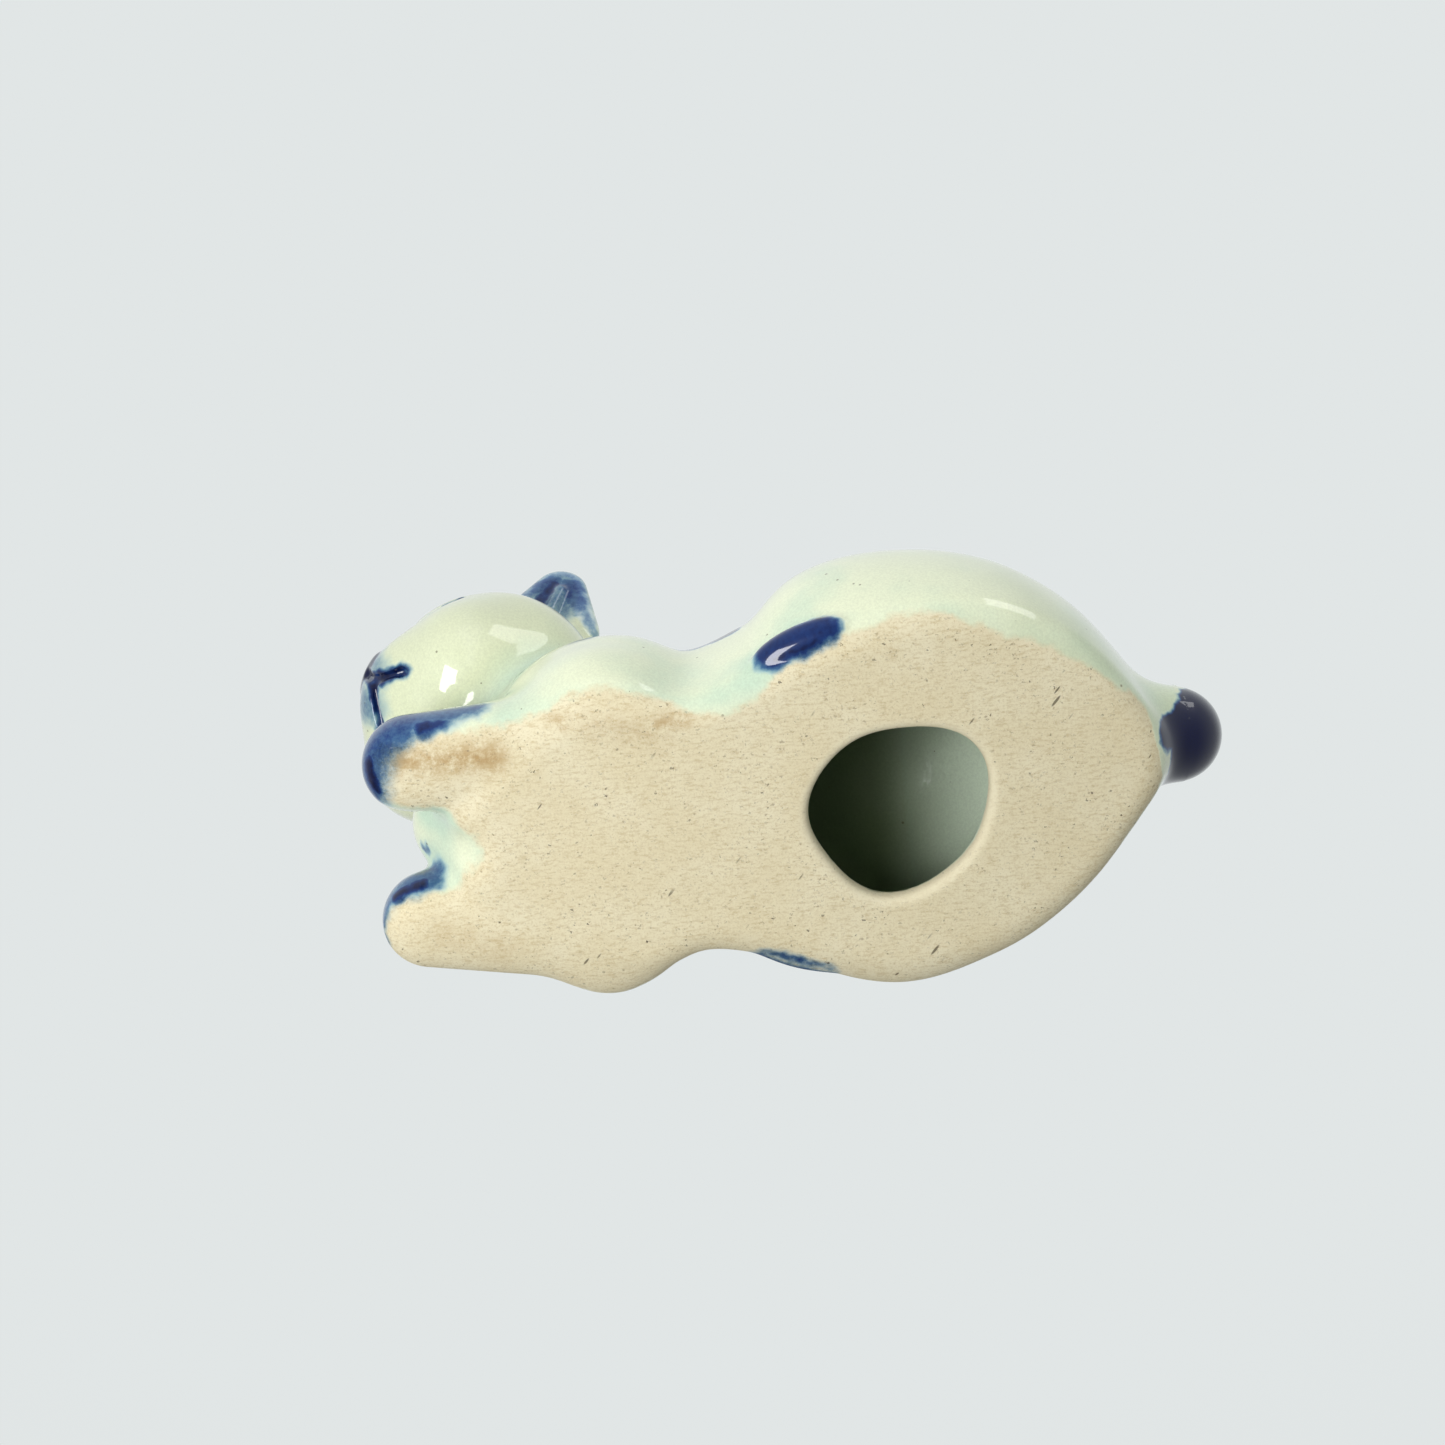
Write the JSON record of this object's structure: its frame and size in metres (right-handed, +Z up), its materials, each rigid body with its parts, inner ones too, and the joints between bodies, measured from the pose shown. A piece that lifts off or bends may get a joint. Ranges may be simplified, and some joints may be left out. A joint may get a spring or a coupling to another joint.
{
  "type": "reclining dog figurine",
  "caption": "Small hollow ceramic dog lying with its head turned to its left, celadon glaze with cobalt touches, flat unglazed underside with a casting hole.",
  "frame": {"origin": "on the flat underside, below the middle of the whole figure", "axes": "+Z up, -Y towards the forepaws and the face, +X the animal's left"},
  "size_m": [0.0598, 0.117, 0.0554],
  "materials": {
    "celadon_glaze": "glossy pale celadon glaze, bare biscuit on the underside",
    "cobalt_glaze": "glossy glaze over cobalt blue brushwork"
  },
  "bodies": {
    "root": {"body_shell": "celadon_glaze", "head": "celadon_glaze", "left_foreleg": "celadon_glaze", "right_foreleg": "celadon_glaze", "left_ear": "cobalt_glaze", "right_ear": "cobalt_glaze", "left_hind_foot": "cobalt_glaze", "right_hind_foot": "cobalt_glaze", "tail": "cobalt_glaze"}
  },
  "joints": []
}
